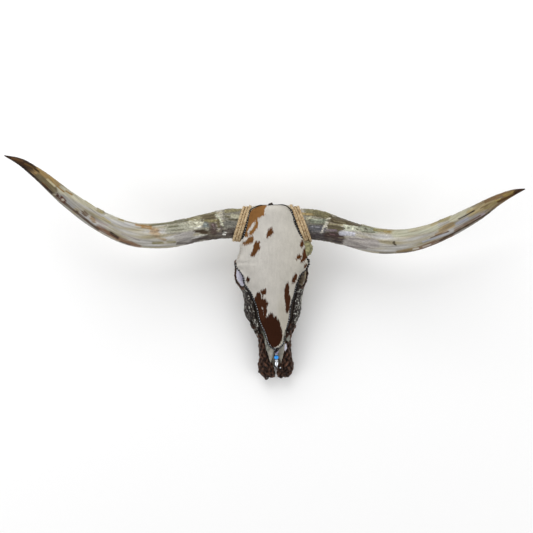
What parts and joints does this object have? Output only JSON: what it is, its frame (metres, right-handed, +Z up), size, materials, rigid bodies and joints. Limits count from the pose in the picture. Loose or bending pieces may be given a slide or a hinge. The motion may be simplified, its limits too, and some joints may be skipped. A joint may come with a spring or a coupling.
{
  "type": "decorated longhorn steer skull",
  "caption": "Life-size longhorn steer skull without its lower jaw, dressed with hair-on hide, tooled leather, rope, beaded lacing and a small bead pendant.",
  "frame": {"origin": "centre of the underside of the whole skull's bounding box, on the floor that it lies on", "axes": "+X from the horn on a viewer's left to the one on their right when the nose points towards them, +Y from the nose to the poll, +Z up out of the forehead"},
  "size_m": [1.5353, 0.6964, 0.2864],
  "materials": {
    "bone": "dry, slightly porous bone, off-white to olive cream",
    "horn": "weathered horn sheath, grey-brown and rough at the root, smooth off-white along the middle, dark at the tip",
    "cowhide": "short white hair with tan and dark brown patches",
    "lacing": "black leather lace strung with small silver beads",
    "tooled_leather": "dark brown tooled leather with silver-grey rubbed highlights",
    "braided_leather": "dark brown braided leather lace",
    "rope": "natural twisted sisal",
    "bead": "glossy lavender grey",
    "turquoise": "polished bright blue stone",
    "silver": "polished silver"
  },
  "bodies": {
    "root": {"cranium": "bone", "horn_left": "horn", "horn_right": "horn", "hide_panel": "cowhide", "edge_lacing_left": "lacing", "edge_lacing_right": "lacing", "orbit_lacing_left": "lacing", "orbit_lacing_right": "lacing", "cheek_leather_left": "tooled_leather", "cheek_leather_right": "tooled_leather", "muzzle_wrap_left": "braided_leather", "muzzle_wrap_right": "braided_leather", "pendant_strip": "braided_leather", "hanging_loop": "braided_leather", "rope_left_1": "rope", "rope_left_2": "rope", "rope_left_3": "rope", "rope_right_1": "rope", "rope_right_2": "rope", "rope_right_3": "rope", "pendant_bead": "bead", "pendant_ring": "silver", "pendant_turquoise": "turquoise", "pendant_charm": "silver"}
  },
  "joints": []
}
